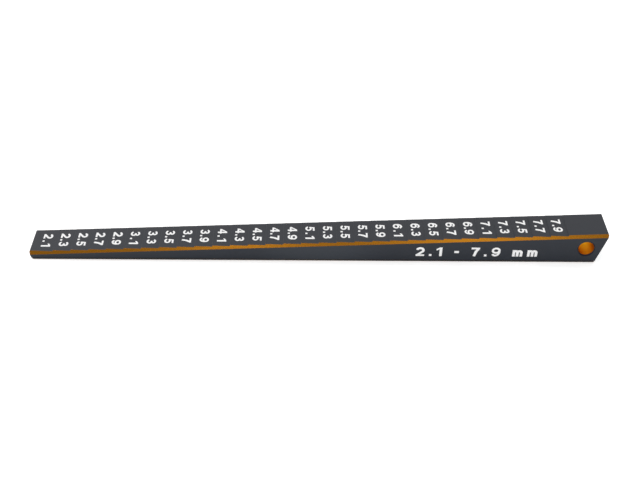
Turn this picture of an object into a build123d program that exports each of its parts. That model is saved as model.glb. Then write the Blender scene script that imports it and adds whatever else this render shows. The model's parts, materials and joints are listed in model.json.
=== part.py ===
from build123d import *
import math
import os

# Ride height gauge: a machined aluminium bar whose top climbs in level treads.
# X runs from the thin end to the thick end, Y from the front side to the back side, Z up.
# The origin is at the middle of the underside. Lengths are in millimetres, angles in degrees.

# The scale of treads
LOWEST_HEIGHT = 2.1
HEIGHT_STEP = 0.2
TREAD_COUNT = 30
TREAD_LENGTH = 4.5
TIP_LENGTH = 1.5
HEAD_LENGTH = 10.2

# The bar and its ends
WIDTH = 10.0
THICK_END_RAKE = 17.0
THIN_END_RAKE = 16.0
END_CORNER_RADIUS = 0.2

# Chamfers along the bar, both at 45 degrees
TOP_CHAMFER = 0.7
UNDERSIDE_CHAMFER = 0.4

# The hanging hole, with the walls left between its rim and the faces of the thick end
BORE_DIAMETER = 4.0
COUNTERSINK_WIDTH = 0.3
HOLE_TOP_WALL = 1.75
HOLE_END_WALL = 1.5

# Places along the bar, and how far a cutter starts and stops outside it
length = TIP_LENGTH + TREAD_COUNT * TREAD_LENGTH + HEAD_LENGTH
thin_end = -length / 2
thick_end = length / 2
first_ridge = thin_end + TIP_LENGTH
slope = HEIGHT_STEP / TREAD_LENGTH
cutter_overrun = WIDTH / 10


def ridge_height(x):
    """Height of the sloping line that touches the top of every riser and is the top of the head."""
    return LOWEST_HEIGHT + slope * (x - first_ridge)


def side_profile():
    """Outline of the bar seen from the front: underside, raked ends with round corners, treads and head."""
    thick_height = ridge_height(thick_end)
    outline = [
        (thin_end + LOWEST_HEIGHT * math.tan(math.radians(THIN_END_RAKE)), 0),
        (thin_end, LOWEST_HEIGHT),
    ]
    for riser in range(1, TREAD_COUNT + 1):
        riser_x = first_ridge + riser * TREAD_LENGTH
        outline.append((riser_x, ridge_height(riser_x) - HEIGHT_STEP))
        outline.append((riser_x, ridge_height(riser_x)))
    outline.append((thick_end, thick_height))
    outline.append((thick_end - thick_height * math.tan(math.radians(THICK_END_RAKE)), 0))
    profile = make_face(Plane.XZ * Polyline(*outline, close=True))
    corners = profile.vertices().sort_by(Axis.X)
    return fillet(corners[:2] + corners[-2:], END_CORNER_RADIUS)


def top_chamfer_cutter():
    """Three-sided prism that follows the slope and takes the front edge off all treads in one pass."""
    overrun_start = thin_end - cutter_overrun
    start_height = ridge_height(overrun_start)
    front = -WIDTH / 2
    section = Plane.YZ.offset(overrun_start) * make_face(
        Polyline(
            (front - cutter_overrun, start_height - TOP_CHAMFER - cutter_overrun),
            (front + TOP_CHAMFER + cutter_overrun, start_height + cutter_overrun),
            (front - cutter_overrun, start_height + cutter_overrun),
            close=True,
        )
    )
    run = length + 2 * cutter_overrun
    return extrude(section, amount=run * math.hypot(1, slope), dir=(1, 0, slope))


def underside_chamfer_cutter():
    """Three-sided prism along the front edge of the underside."""
    front = -WIDTH / 2
    section = Plane.YZ.offset(thin_end) * make_face(
        Polyline(
            (front - cutter_overrun, UNDERSIDE_CHAMFER + cutter_overrun),
            (front + UNDERSIDE_CHAMFER + cutter_overrun, -cutter_overrun),
            (front - cutter_overrun, -cutter_overrun),
            close=True,
        )
    )
    return extrude(section, amount=length, dir=(1, 0, 0))


def hole_centre():
    """Centre of the hole in X and Z, set square to the sloping top and to the raked end face."""
    rim_radius = BORE_DIAMETER / 2 + COUNTERSINK_WIDTH
    below_top = (rim_radius + HOLE_TOP_WALL) * math.hypot(1, slope)
    from_end = (rim_radius + HOLE_END_WALL) / math.cos(math.radians(THICK_END_RAKE))
    lean = math.tan(math.radians(THICK_END_RAKE))
    drop = (below_top + slope * from_end) / (1 - slope * lean)
    return thick_end - from_end - drop * lean, ridge_height(thick_end) - drop


def hole_cutter():
    """Round bore through the width, opening into a 45 degree countersink on each side."""
    centre_x, centre_z = hole_centre()
    bore_radius = BORE_DIAMETER / 2
    flare = COUNTERSINK_WIDTH + cutter_overrun
    side = WIDTH / 2
    half_section = Plane((centre_x, 0, centre_z)) * make_face(
        Polyline(
            (0, -side - cutter_overrun),
            (bore_radius + flare, -side - cutter_overrun),
            (bore_radius, -side + COUNTERSINK_WIDTH),
            (bore_radius, side - COUNTERSINK_WIDTH),
            (bore_radius + flare, side + cutter_overrun),
            (0, side + cutter_overrun),
            close=True,
        )
    )
    return revolve(half_section, axis=Axis((centre_x, 0, centre_z), (0, 1, 0)))


def gauge_bar():
    """The whole gauge, in the order in which it is machined."""
    bar = extrude(side_profile(), amount=WIDTH / 2, both=True)
    for cutter in (top_chamfer_cutter(), underside_chamfer_cutter()):
        bar -= cutter
        bar -= mirror(cutter, about=Plane.XZ)
    return bar - hole_cutter()


os.makedirs("parts", exist_ok=True)
export_step(gauge_bar(), "parts/gauge_bar.step")
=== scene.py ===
import json
import math

import bpy
import numpy as np
from mathutils import Matrix, Vector, geometry


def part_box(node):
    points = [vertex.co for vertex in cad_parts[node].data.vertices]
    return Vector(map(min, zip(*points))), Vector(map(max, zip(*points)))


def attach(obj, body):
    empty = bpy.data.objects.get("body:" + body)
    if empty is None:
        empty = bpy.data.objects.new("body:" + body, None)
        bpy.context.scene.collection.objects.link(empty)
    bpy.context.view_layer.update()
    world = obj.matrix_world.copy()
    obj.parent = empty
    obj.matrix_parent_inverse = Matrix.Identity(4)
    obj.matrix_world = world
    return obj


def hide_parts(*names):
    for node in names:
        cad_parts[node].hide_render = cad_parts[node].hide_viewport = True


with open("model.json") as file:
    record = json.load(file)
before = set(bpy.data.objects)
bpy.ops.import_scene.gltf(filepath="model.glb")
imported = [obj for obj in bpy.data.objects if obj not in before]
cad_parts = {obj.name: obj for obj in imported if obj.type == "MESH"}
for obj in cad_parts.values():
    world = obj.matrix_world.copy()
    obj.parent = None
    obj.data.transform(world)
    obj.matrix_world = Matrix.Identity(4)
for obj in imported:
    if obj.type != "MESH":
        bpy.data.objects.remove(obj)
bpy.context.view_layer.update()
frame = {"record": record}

# The bar.
# One length of aluminium, milled to its profile of thirty level treads, bead blasted and anodised black with
# its hole countersunk. Its long edges and bore were then cut through the black and anodised gold.
# Lengths are in metres and angles in degrees. X runs from the thin end to the thick end, and the front side
# looks along -Y.
mounts = {mount["name"]: mount for mount in frame["record"]["mounts"]}
lowest_tread = mounts["lowest_tread"]["pos_m"]
highest_tread = mounts["highest_tread"]["pos_m"]
hole_x, _, hole_z = mounts["hanging_hole"]["pos_m"]
bore_radius = mounts["hanging_hole"]["dims"]["r_mm"] / 1000
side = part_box("gauge_bar")[1][1]

TREAD_COUNT = 30
TIP_LENGTH = 0.0015
HEAD_LENGTH = 0.0102
THIN_END_RAKE = 16.0
THICK_END_RAKE = 17.0
END_CORNER_RADIUS = 0.0002
CUTTER_CORNER_RADIUS = 0.0001
CORNER_STEPS = 7
TOP_CHAMFER = 0.0007
UNDERSIDE_CHAMFER = 0.0004
COUNTERSINK_WIDTH = 0.0003
HOLE_STEPS = 96
EDGE_BREAK = 0.00002
SHARP_EDGE = 30.0

tread_length = (highest_tread[0] - lowest_tread[0]) / (TREAD_COUNT - 1)
tread_heights = np.linspace(lowest_tread[2], highest_tread[2], TREAD_COUNT)
slope = (tread_heights[1] - tread_heights[0]) / tread_length
first_ridge = lowest_tread[0] - tread_length / 2


def ridge_height(x):
    """The sloping line over the tops of all risers: the lowest height plus the slope times the way run."""
    return lowest_tread[2] + slope * (x - first_ridge)


def raked_end(x, height, rake):
    """Top and foot of an end whose top overhangs its foot by the height times the tangent of the rake."""
    return np.array([(x, height), (x - height * math.tan(math.radians(rake)), 0)])


def rounded(before, corner, after, radius=END_CORNER_RADIUS):
    """A corner as an arc tangent to both its lines.

    Its centre lies midway between the lines, off the corner by the radius over the sine of half their angle.
    """
    to_before = (before - corner) / np.linalg.norm(before - corner)
    to_after = (after - corner) / np.linalg.norm(after - corner)
    half = math.acos(to_before @ to_after) / 2
    middle = (to_before + to_after) / np.linalg.norm(to_before + to_after)
    centre = corner + middle * radius / math.sin(half)
    across = np.array([-middle[1], middle[0]]) * np.sign(middle[0] * to_before[1] - middle[1] * to_before[0])
    turn = np.linspace(math.pi / 2 - half, half - math.pi / 2, CORNER_STEPS)[:, None]
    return centre + radius * (np.sin(turn) * across - np.cos(turn) * middle)


def at_height(end, height):
    """The point of an end at a height: the foot plus a share of the way to the top."""
    top, foot = end
    return foot + (top - foot) * height / top[1]


def below_ridge(end, drop):
    """The point of an end that lies below the ridge line by a drop."""
    top, foot = end
    share = (ridge_height(foot[0]) - drop) / (top[1] - slope * (top[0] - foot[0]))
    return foot + (top - foot) * share


# The profile runs over the top from the thin end to the thick end, and back along the underside. The cutter
# leaves a small round at the foot of each riser. Each point of the profile is as far out to both sides as the
# chamfer that it lies on lets it be.
risers = first_ridge + tread_length * np.arange(1, TREAD_COUNT + 1)
feet = np.column_stack([risers, tread_heights])
tips = np.column_stack([risers, ridge_height(risers)])
treads_and_risers = [
    [*rounded(foot - [tread_length, 0], foot, tip, CUTTER_CORNER_RADIUS), tip]
    for foot, tip in zip(feet, tips)
]
thin_end = raked_end(first_ridge - TIP_LENGTH, lowest_tread[2], -THIN_END_RAKE)
head_end = risers[-1] + HEAD_LENGTH
thick_end = raked_end(head_end, ridge_height(head_end), THICK_END_RAKE)
top = np.vstack([
    rounded(thin_end[1], thin_end[0], feet[0]),
    *treads_and_risers,
    rounded(tips[-1], thick_end[0], thick_end[1]),
])
underside = np.vstack([
    rounded(thick_end[0], thick_end[1], thin_end[1]),
    rounded(thick_end[1], thin_end[1], thin_end[0]),
])
profile = np.vstack([top, underside])
reach = np.append(
    side - TOP_CHAMFER + ridge_height(top[:, 0]) - top[:, 1],
    side - UNDERSIDE_CHAMFER + underside[:, 1],
)
side_corners = np.array([
    at_height(thin_end, UNDERSIDE_CHAMFER),
    at_height(thick_end, UNDERSIDE_CHAMFER),
    below_ridge(thick_end, TOP_CHAMFER),
    below_ridge(thin_end, TOP_CHAMFER),
])

# The hole is four rings of points: rim, bore, bore, rim. On each side of the bar two faces close round the
# rim, parted where it is nearest the lower thin corner and the upper thick corner.
start = math.atan2(side_corners[0][1] - hole_z, side_corners[0][0] - hole_x)
angles = start + np.linspace(0, 2 * math.pi, HOLE_STEPS, endpoint=False)
radii = bore_radius + COUNTERSINK_WIDTH * np.array([1, 0, 0, 1])
depths = np.array([-side, COUNTERSINK_WIDTH - side, side - COUNTERSINK_WIDTH, side])
rings = np.stack([
    hole_x + radii[:, None] * np.cos(angles),
    np.broadcast_to(depths[:, None], (4, HOLE_STEPS)),
    hole_z + radii[:, None] * np.sin(angles),
], -1)


def at_depth(outline, y):
    """Outline points in X and Z, placed at their Y."""
    return np.column_stack([outline[:, 0], np.broadcast_to(y, len(outline)), outline[:, 1]])


def faces_round_rim(rim, outline):
    """Two faces between an outline of four corners and the rim, each with half the rim and three corners."""
    half = HOLE_STEPS // 2
    closed = np.append(rim, rim[0])
    return [
        np.append(outline[:3], closed[half::-1]),
        np.append(outline[[2, 3, 0]], closed[:half - 1:-1]),
    ]


points = np.vstack([
    at_depth(profile, -reach), at_depth(profile, reach),
    at_depth(side_corners, -side), at_depth(side_corners, side),
    rings.reshape(-1, 3),
])
front = np.arange(len(profile))
back = front + len(profile)
front_corners = 2 * len(profile) + np.arange(4)
back_corners = front_corners + 4
ring = back_corners[-1] + 1 + np.arange(4 * HOLE_STEPS).reshape(4, HOLE_STEPS)
over, under = slice(0, len(top)), slice(len(top), None)
round_profile = np.stack([front, np.roll(front, -1), np.roll(back, -1), back], -1)
hole_walls = np.stack([ring[:-1], np.roll(ring[:-1], -1, 1), np.roll(ring[1:], -1, 1), ring[1:]], -1)


def end_face(last, first, upper, lower):
    """An end between the last and first points of two runs of the profile, with the corners of the sides."""
    return [
        front[last], front_corners[upper], front_corners[lower], front[first],
        back[first], back_corners[lower], back_corners[upper], back[last],
    ]


closing = [len(top) - 1, len(profile) - 1]
black_faces = [
    *np.delete(round_profile, closing, 0),
    end_face(closing[0], closing[0] + 1, 2, 1),
    end_face(closing[1], 0, 0, 3),
    *faces_round_rim(ring[0], front_corners),
    *[face[::-1] for face in faces_round_rim(ring[3], back_corners)],
    *hole_walls[0], *hole_walls[2],
]
chamfers = [
    [*front_corners[[3, 2]], *front[over][::-1]],
    [*front_corners[[1, 0]], *front[under][::-1]],
    [*back[over], *back_corners[[2, 3]]],
    [*back[under], *back_corners[[0, 1]]],
]
faces = [list(map(int, face)) for face in [*black_faces, *chamfers, *hole_walls[1]]]
face_finish = np.repeat([0, 1, 2], [len(black_faces), len(chamfers), HOLE_STEPS])


def new_piece(name, points, faces, materials, face_material=None):
    """A mesh object at the origin, with its place in its points."""
    mesh = bpy.data.meshes.new(name)
    mesh.from_pydata(points, [], faces)
    for material in materials:
        mesh.materials.append(material)
    if face_material is not None:
        mesh.polygons.foreach_set("material_index", np.ascontiguousarray(face_material, np.int32))
    mesh.update()
    piece = bpy.data.objects.new(name, mesh)
    bpy.context.scene.collection.objects.link(piece)
    return piece


def srgb(code):
    """The linear colour of an sRGB hex code: each part over 12.92 near black, else a power of 2.4."""
    part = np.array([int(code[place:place + 2], 16) for place in (1, 3, 5)]) / 255
    linear = np.where(part <= 0.04045, part / 12.92, ((part + 0.055) / 1.055) ** 2.4)
    return (*linear, 1.0)


def add_node(tree, kind, inputs, **settings):
    """Adds a node with its settings, and fills its inputs with values or with links from other nodes."""
    node = tree.nodes.new("ShaderNode" + kind)
    for name, value in settings.items():
        setattr(node, name, value)
    for name, value in inputs.items():
        if isinstance(value, bpy.types.NodeSocket):
            tree.links.new(value, node.inputs[name])
        else:
            node.inputs[name].default_value = value
    return node


def new_material(name):
    """An empty material and its node tree."""
    material = bpy.data.materials.new(name)
    material.use_nodes = True
    material.node_tree.nodes.clear()
    return material, material.node_tree


# Bead blasted aluminium, anodised black: the dye leaves a blue-black satin with a fine even grain, and the
# cutter's passes still show as faint lines across the treads.
BLAST_GRAIN = 0.00018
BLAST_RELIEF = 0.000004
CUTTER_FEED = 0.0005
ALONG_CUTTER = (1.0, 0.04, 0.3)
DYE_CLOUDS_PER_METRE = 180.0
DYE_DEEP = "#070e1b"
DYE_PALE = "#0c1423"
SATIN_SMOOTH = 0.38
SATIN_ROUGH = 0.50
black_anodised, tree = new_material("black_anodised_bead_blasted_aluminium")
place = add_node(tree, "TexCoord", {}).outputs["Object"]
grain = add_node(tree, "TexNoise", {"Vector": place, "Scale": 1 / BLAST_GRAIN, "Detail": 2.0})
stretched = add_node(tree, "Mapping", {"Vector": place, "Scale": ALONG_CUTTER})
passes = add_node(tree, "TexNoise", {"Vector": stretched.outputs[0], "Scale": 1 / CUTTER_FEED, "Detail": 1.0})
cloud = add_node(tree, "TexNoise", {"Vector": place, "Scale": DYE_CLOUDS_PER_METRE, "Detail": 3.0})
tint = add_node(tree, "ValToRGB", {"Fac": cloud.outputs["Fac"]})
tint.color_ramp.elements[0].color = srgb(DYE_DEEP)
tint.color_ramp.elements[1].color = srgb(DYE_PALE)
gloss = add_node(tree, "MapRange", {
    "Value": grain.outputs["Fac"], "To Min": SATIN_SMOOTH, "To Max": SATIN_ROUGH,
})
relief = add_node(tree, "Math", {0: grain.outputs["Fac"], 1: passes.outputs["Fac"]}, operation="ADD")
bump = add_node(tree, "Bump", {"Height": relief.outputs[0], "Distance": BLAST_RELIEF, "Strength": 0.6})
surface = add_node(tree, "BsdfPrincipled", {
    "Base Color": tint.outputs["Color"], "Roughness": gloss.outputs[0], "Normal": bump.outputs[0],
})
add_node(tree, "OutputMaterial", {"Surface": surface.outputs[0]})

# Freshly cut aluminium, anodised gold: a brighter satin metal. The cutter leaves lines along the chamfers,
# and the reamer leaves duller ones round the bore. Each line stays at one Y, so they are a pattern across Y.
TOOL_LINE = 0.00009
TOOL_LINE_DEPTH = 0.000003
ACROSS_BAR = (0.01, 1.0, 0.0)


def gold_anodised(name, dark, light, smooth, rough):
    """Gold metal whose tint and roughness vary between two values from one tool line to the next."""
    material, tree = new_material(name)
    place = add_node(tree, "TexCoord", {}).outputs["Object"]
    across = add_node(tree, "Mapping", {"Vector": place, "Scale": ACROSS_BAR})
    lines = add_node(tree, "TexNoise", {"Vector": across.outputs[0], "Scale": 1 / TOOL_LINE, "Detail": 1.0})
    tint = add_node(tree, "ValToRGB", {"Fac": lines.outputs["Fac"]})
    tint.color_ramp.elements[0].color = srgb(dark)
    tint.color_ramp.elements[1].color = srgb(light)
    gloss = add_node(tree, "MapRange", {"Value": lines.outputs["Fac"], "To Min": smooth, "To Max": rough})
    bump = add_node(tree, "Bump", {
        "Height": lines.outputs["Fac"], "Distance": TOOL_LINE_DEPTH, "Strength": 0.4,
    })
    surface = add_node(tree, "BsdfPrincipled", {
        "Base Color": tint.outputs["Color"], "Roughness": gloss.outputs[0], "Metallic": 1.0,
        "Normal": bump.outputs[0],
    })
    add_node(tree, "OutputMaterial", {"Surface": surface.outputs[0]})
    return material


gold_chamfer = gold_anodised(
    "gold_anodised_cut_aluminium", dark="#ca8424", light="#d68e28", smooth=0.18, rough=0.26
)
gold_bore = gold_anodised(
    "gold_anodised_reamed_aluminium", dark="#e2aa0c", light="#eab412", smooth=0.32, rough=0.42
)

bar = new_piece("anodised_bar", points, faces, [black_anodised, gold_chamfer, gold_bore], face_finish)
bar.data.shade_smooth()
edge_break = bar.modifiers.new("edge_break", "BEVEL")
edge_break.width = EDGE_BREAK
edge_break.segments = 2
edge_break.limit_method = "ANGLE"
edge_break.angle_limit = math.radians(SHARP_EDGE)
flats = bar.modifiers.new("flats", "WEIGHTED_NORMAL")
flats.mode = "FACE_AREA"
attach(bar, "root")
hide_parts("gauge_bar")

# The height numerals.
# Each tread is marked with its height in millimetres by a laser that bleaches the black dye white. The
# figures are a plain bold grotesque, read from the back side to the front with their tops to the thick end.
# Glyphs are drawn one unit tall, from boxes and from ribbons round straight and elliptical centre lines.
STROKE = 0.248
ROUND_STROKE = 0.2
BAR_STROKE = 0.19
FIGURE_WIDTH = 0.78
SIX_WIDTH = 0.8
SMALL_LETTER_HEIGHT = 0.74
DOT = 0.23
WORD_GAP = 2.6
ARC_STEPS = 20
SAME_POINT = 1e-6


def arc(centre_x, centre_y, radius_x, radius_y, start, stop):
    """Points on an ellipse: the centre plus the radii times cosine and sine of even steps of angle."""
    angle = np.radians(np.linspace(start, stop, ARC_STEPS))
    return np.stack([centre_x + radius_x * np.cos(angle), centre_y + radius_y * np.sin(angle)], -1)


def ribbon(*path, width=STROKE):
    """A path widened to both sides, along the mean normal of its runs over the cosine of half their turn."""
    path = np.vstack(path)
    run = np.diff(path, axis=0)
    run /= np.linalg.norm(run, axis=1, keepdims=True)
    before, after = np.vstack([run[:1], run]), np.vstack([run, run[-1:]])
    mean = before + after
    mean /= (mean * before).sum(1, keepdims=True)
    shift = mean[:, ::-1] * [-1, 1] * width / 2
    return np.vstack([path - shift, (path + shift)[::-1]])


def box_shape(x0, y0, x1, y1):
    """A rectangle from its lowest and highest corners."""
    return np.array([(x0, y0), (x1, y0), (x1, y1), (x0, y1)])


half_width = FIGURE_WIDTH / 2
half_stroke = STROKE / 2
bowl = half_width - ROUND_STROKE / 2
six_bowl = (SIX_WIDTH - ROUND_STROKE) / 2
under_bar = 1 - BAR_STROKE
glyphs = {
    "1": [
        box_shape(0.24, 0, 0.24 + STROKE, 1),
        np.array([(-0.03, 0.64), (0.27, 0.79), (0.3, 1), (0.28, 1), (-0.03, 0.82)]),
    ],
    "2": [
        ribbon(arc(half_width, 0.665, bowl, 0.235, 165, -38), [(half_stroke, half_stroke)], width=0.22),
        box_shape(0, 0, FIGURE_WIDTH, BAR_STROKE),
    ],
    "3": [
        ribbon(arc(0.355, 0.715, bowl - 0.03, 0.195, 165, -90), width=ROUND_STROKE),
        ribbon(arc(0.36, 0.31, bowl, 0.22, 90, -165), width=ROUND_STROKE),
        box_shape(0.27, 0.44, 0.4, 0.61),
    ],
    "4": [
        box_shape(0.46, 0, 0.46 + STROKE, 1),
        box_shape(0, 0.215, 0.8, 0.4),
        np.array([(0, 0.215), (0.22, 0.4), (0.6, 1), (0.46, 1), (0, 0.4)]),
    ],
    "5": [
        box_shape(0.14, under_bar, FIGURE_WIDTH - 0.04, 1),
        ribbon([(0.22, 0.98), (0.145, 0.45)], width=0.18),
        ribbon(arc(0.36, 0.34, bowl, 0.245, 150, -165), width=ROUND_STROKE),
    ],
    "6": [
        ribbon(arc(SIX_WIDTH / 2, 0.335, six_bowl, 0.25, 0, 180), width=ROUND_STROKE),
        ribbon(arc(SIX_WIDTH / 2, 0.335, six_bowl, 0.25, 180, 360), width=ROUND_STROKE),
        ribbon(arc(0.44, 0.47, 0.44 - ROUND_STROKE / 2, 0.43, 38, 190), width=ROUND_STROKE),
    ],
    "7": [box_shape(0, under_bar, FIGURE_WIDTH, 1), ribbon([(0.66, 0.9), (0.42, 0.5), (0.29, 0)])],
}
glyphs["9"] = [np.array([SIX_WIDTH, 1]) - shape for shape in glyphs["6"]]
glyphs["."] = [box_shape(0, 0, DOT, DOT)]
glyphs["-"] = [box_shape(0, 0.36, 0.42, 0.36 + STROKE)]
arch_width, arch_height = 0.34, 0.16
arch_foot = SMALL_LETTER_HEIGHT - half_stroke - arch_height
glyphs["m"] = [box_shape(0, 0, STROKE, SMALL_LETTER_HEIGHT)]
for left in (half_stroke, half_stroke + arch_width):
    arch = arc(left + arch_width / 2, arch_foot, arch_width / 2, arch_height, 180, 0)
    glyphs["m"].append(ribbon(arch, [(left + arch_width, 0)]))


def united(shapes):
    """Corners and triangles of the area that overlapping shapes cover, moved to begin at zero."""
    corners = np.vstack(shapes)
    ends = np.cumsum([len(shape) for shape in shapes])
    faces = [list(range(end - len(shape), end)) for shape, end in zip(shapes, ends)]
    vectors = [Vector(corner) for corner in corners]
    flat, _, cut, _, _, covered_by = geometry.delaunay_2d_cdt(vectors, [], faces, 0, SAME_POINT)
    flat = np.array(flat)
    return flat - [flat[:, 0].min(), 0], np.array([face for face, owner in zip(cut, covered_by) if owner])


glyphs = {name: united(shapes) for name, shapes in glyphs.items()}


def set_line(text, length):
    """Corners and triangles of a line of a given length, with equal gaps and wider ones between words."""
    names = text.replace(" ", "")
    widths = np.array([glyphs[name][0][:, 0].max() for name in names])
    gaps = np.ones(len(names))
    gaps[np.cumsum([len(word) for word in text.split()]) - 1] = WORD_GAP
    gaps *= (length - widths.sum()) / gaps[:-1].sum()
    starts = np.cumsum(np.append(0, widths + gaps)) - length / 2
    counts = np.cumsum([0] + [len(glyphs[name][0]) for name in names])
    corners = [glyphs[name][0] + [start, 0] for name, start in zip(names, starts)]
    triangles = [glyphs[name][1] + count for name, count in zip(names, counts)]
    return np.vstack(corners), np.vstack(triangles)


CAP_HEIGHT = 0.00236
LABEL_LENGTH = 0.0052
MARK_RISE = 0.000008
MARK_DEPTH = 0.000016
marks, mark_faces, mark_count = [], [], 0
for number, height in enumerate(tread_heights):
    ink, triangles = set_line("%.1f" % (height * 1000), LABEL_LENGTH / CAP_HEIGHT)
    ink = (ink - [0, 0.5]) * CAP_HEIGHT
    middle = lowest_tread[0] + tread_length * number
    marks.append(np.column_stack([middle + ink[:, 1], -ink[:, 0], np.full(len(ink), height + MARK_RISE)]))
    mark_faces.append(triangles + mark_count)
    mark_count += len(ink)

# Laser-bleached oxide: a flat chalky white, laid down in close parallel passes.
LASER_HATCH = 0.00012
CHALK_DULL = "#fdfdfd"
CHALK_WHITE = "#ffffff"
white_marking, tree = new_material("white_laser_marking")
place = add_node(tree, "TexCoord", {}).outputs["Object"]
hatch = add_node(tree, "TexNoise", {"Vector": place, "Scale": 1 / LASER_HATCH, "Detail": 1.0})
tint = add_node(tree, "ValToRGB", {"Fac": hatch.outputs["Fac"]})
tint.color_ramp.elements[0].color = srgb(CHALK_DULL)
tint.color_ramp.elements[1].color = srgb(CHALK_WHITE)
surface = add_node(tree, "BsdfPrincipled", {"Base Color": tint.outputs["Color"], "Roughness": 0.7})
add_node(tree, "OutputMaterial", {"Surface": surface.outputs[0]})


def new_marking(name, points, faces):
    """A laser mark: flat figures given the slight thickness that keeps them clear of the metal."""
    piece = new_piece(name, points, faces, [white_marking])
    thickness = piece.modifiers.new("thickness", "SOLIDIFY")
    thickness.thickness = MARK_DEPTH
    thickness.offset = -1
    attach(piece, "root")


new_marking("height_numerals", np.vstack(marks), np.vstack(mark_faces).tolist())

# The range of heights along the front side, in the same figures.
RANGE_CAP_HEIGHT = 0.0028
RANGE_LENGTH = 0.031
RANGE_CENTRE = 0.0403
RANGE_BASELINE = 0.0017
lowest, highest = tread_heights[[0, -1]] * 1000
ink, triangles = set_line(f"{lowest:.1f} - {highest:.1f} mm", RANGE_LENGTH / RANGE_CAP_HEIGHT)
ink = ink * RANGE_CAP_HEIGHT + [RANGE_CENTRE, RANGE_BASELINE]
new_marking("range_marking", at_depth(ink, -side - MARK_RISE), triangles.tolist())

# The paper.
# The gauge lies on a sheet of white paper, overexposed to pure white around it. A glow stands for that where
# the camera and the gauge's own gloss see it. In the gloss it is a painted cool white, strongest in a painted
# pool of light before the middle of the front side. Right under the gauge's edges the paper's colour and glow
# are darkened, a painted shade.
FLOOR_REACH = 2.0
GLOW = 0.56
GLOW_IN_GLOSS = 0.262
POOL_IN_GLOSS = 0.62
POOL_CENTRE = (0.0, -0.012, 0.0)
POOL_RADIUS = 0.02
POOL_FULL_FROM = 0.75
PAPER_WHITE = "#ffffff"
COOL_WHITE = "#eefbff"
GAP = 0.001
OPEN_IN_GAP = 0.42
OPEN_OUTSIDE = 0.62
PAPER_IN_GAP = 0.04
PAPER_OUTSIDE = 0.97

paper, tree = new_material("white_paper")
seen = add_node(tree, "LightPath", {})
place = add_node(tree, "TexCoord", {}).outputs["Object"]
# Painted pool of light: a brighter glow that only the gauge's gloss sees, before the middle of its front
# side.
from_pool = add_node(tree, "Mapping", {
    "Vector": place, "Location": POOL_CENTRE, "Scale": [POOL_RADIUS] * 3,
}, vector_type="TEXTURE")
pool = add_node(tree, "TexGradient", {"Vector": from_pool.outputs[0]}, gradient_type="SPHERICAL")
gloss_glow = add_node(tree, "MapRange", {
    "Value": pool.outputs["Fac"], "From Max": POOL_FULL_FROM,
    "To Min": GLOW_IN_GLOSS, "To Max": POOL_IN_GLOSS,
}, interpolation_type="SMOOTHSTEP")
seen_in_gloss = add_node(tree, "Math", {
    0: seen.outputs["Is Glossy Ray"], 1: gloss_glow.outputs[0],
}, operation="MULTIPLY")
seen_direct = add_node(tree, "Math", {0: seen.outputs["Is Camera Ray"], 1: GLOW}, operation="MULTIPLY")
lift = add_node(tree, "Math", {0: seen_direct.outputs[0], 1: seen_in_gloss.outputs[0]}, operation="MAXIMUM")
# Painted shade: where the gauge covers the paper closely, the paper's colour and its glow are darkened.
cover = add_node(tree, "AmbientOcclusion", {"Distance": GAP})
open_share = add_node(tree, "MapRange", {
    "Value": cover.outputs["AO"], "From Min": OPEN_IN_GAP, "From Max": OPEN_OUTSIDE,
    "To Min": PAPER_IN_GAP, "To Max": PAPER_OUTSIDE,
})
glow_strength = add_node(tree, "Math", {0: open_share.outputs[0], 1: lift.outputs[0]}, operation="MULTIPLY")
# Painted reflection colour: the glow that the gloss sees is tinted cool white.
glow_colour = add_node(tree, "MixRGB", {
    "Fac": seen.outputs["Is Glossy Ray"], "Color1": srgb(PAPER_WHITE), "Color2": srgb(COOL_WHITE),
})
glow = add_node(tree, "Emission", {"Color": glow_colour.outputs[0], "Strength": glow_strength.outputs[0]})
surface = add_node(tree, "BsdfDiffuse", {"Color": open_share.outputs[0]})
both = add_node(tree, "AddShader", {0: surface.outputs[0], 1: glow.outputs[0]})
add_node(tree, "OutputMaterial", {"Surface": both.outputs[0]})
floor_corners = np.array([(-1, -1, 0), (1, -1, 0), (1, 1, 0), (-1, 1, 0)]) * FLOOR_REACH
floor = new_piece("floor", floor_corners, [(0, 1, 2, 3)], [paper])

# The room.
# A white room that is dim behind the camera and bright behind the gauge, a little to its left, which gives
# the treads their sheen. The camera itself sees it as pure white.
BRIGHT_WALL = (-0.3, 0.95, 0.0)
DIM_FROM = -0.4
BRIGHT_FROM = 0.9
DIM_LIGHT = 0.31
BRIGHT_LIGHT = 1.15

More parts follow.
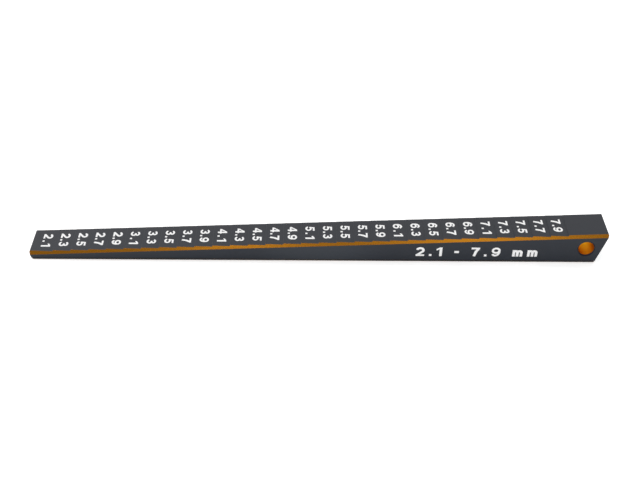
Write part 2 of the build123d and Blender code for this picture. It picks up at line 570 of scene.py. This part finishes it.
world = bpy.data.worlds.new("white_room")
world.use_nodes = True
tree = world.node_tree
tree.nodes.clear()
seen = add_node(tree, "LightPath", {})
towards = add_node(tree, "TexCoord", {}).outputs["Generated"]
away = add_node(tree, "VectorMath", {0: towards, 1: BRIGHT_WALL}, operation="DOT_PRODUCT")
room = add_node(tree, "MapRange", {
    "Value": away.outputs["Value"], "From Min": DIM_FROM, "From Max": BRIGHT_FROM,
    "To Min": DIM_LIGHT, "To Max": BRIGHT_LIGHT,
})
strength = add_node(tree, "Math", {
    0: seen.outputs["Is Camera Ray"], 1: room.outputs[0],
}, operation="MAXIMUM")
background = add_node(tree, "Background", {"Color": (1, 1, 1, 1), "Strength": strength.outputs[0]})
add_node(tree, "OutputWorld", {"Surface": background.outputs[0]})
bpy.context.scene.world = world


def soft_light(name, place, size, power, in_gloss=True):
    """A square area lamp at a place, turned to the origin, with or without a reflection of its own."""
    lamp = bpy.data.lights.new(name, "AREA")
    lamp.size = size
    lamp.energy = power
    holder = bpy.data.objects.new(name, lamp)
    holder.location = place
    holder.rotation_euler = Vector(place).to_track_quat("Z", "Y").to_euler()
    holder.visible_glossy = in_gloss
    bpy.context.scene.collection.objects.link(holder)


# The lamps.
# A softbox at the back left rakes over the treads, and a fill before the front side whitens its marking. Two
# small lamps above the camera put the two bright stretches on the front chamfer.
soft_light("back_left_softbox", place=(-0.5, 0.3, 0.6), size=0.3, power=1.9)
soft_light("front_fill", place=(0.1, -0.7, 0.25), size=0.6, power=2.3, in_gloss=False)
soft_light("left_front_lamp", place=(-0.123, -0.5, 0.63), size=0.09, power=0.032)
soft_light("right_front_lamp", place=(0.125, -0.5, 0.63), size=0.14, power=0.058)

# The camera, where it stood for the photograph.
CAMERA_TARGET = (0.000498, 0.0, 0.002757)
CAMERA_DISTANCE = 0.26504
CAMERA_AZIMUTH = -1.019
CAMERA_ELEVATION = 37.865
CAMERA_ROLL = 0.982
CAMERA_LENS = 57.87
azimuth, elevation = math.radians(CAMERA_AZIMUTH), math.radians(CAMERA_ELEVATION)
back = Vector((
    math.sin(azimuth) * math.cos(elevation), -math.cos(azimuth) * math.cos(elevation), math.sin(elevation)
))
lens = bpy.data.cameras.new("camera")
lens.lens = CAMERA_LENS
lens.clip_start = 0.01
camera = bpy.data.objects.new("camera", lens)
upright = (-back).to_track_quat("-Z", "Y").to_matrix().to_4x4()
camera.matrix_world = (
    Matrix.Translation(Vector(CAMERA_TARGET) + back * CAMERA_DISTANCE)
    @ upright @ Matrix.Rotation(math.radians(CAMERA_ROLL), 4, "Z")
)
bpy.context.scene.collection.objects.link(camera)
bpy.context.scene.camera = camera
bpy.context.scene.view_settings.view_transform = "Standard"
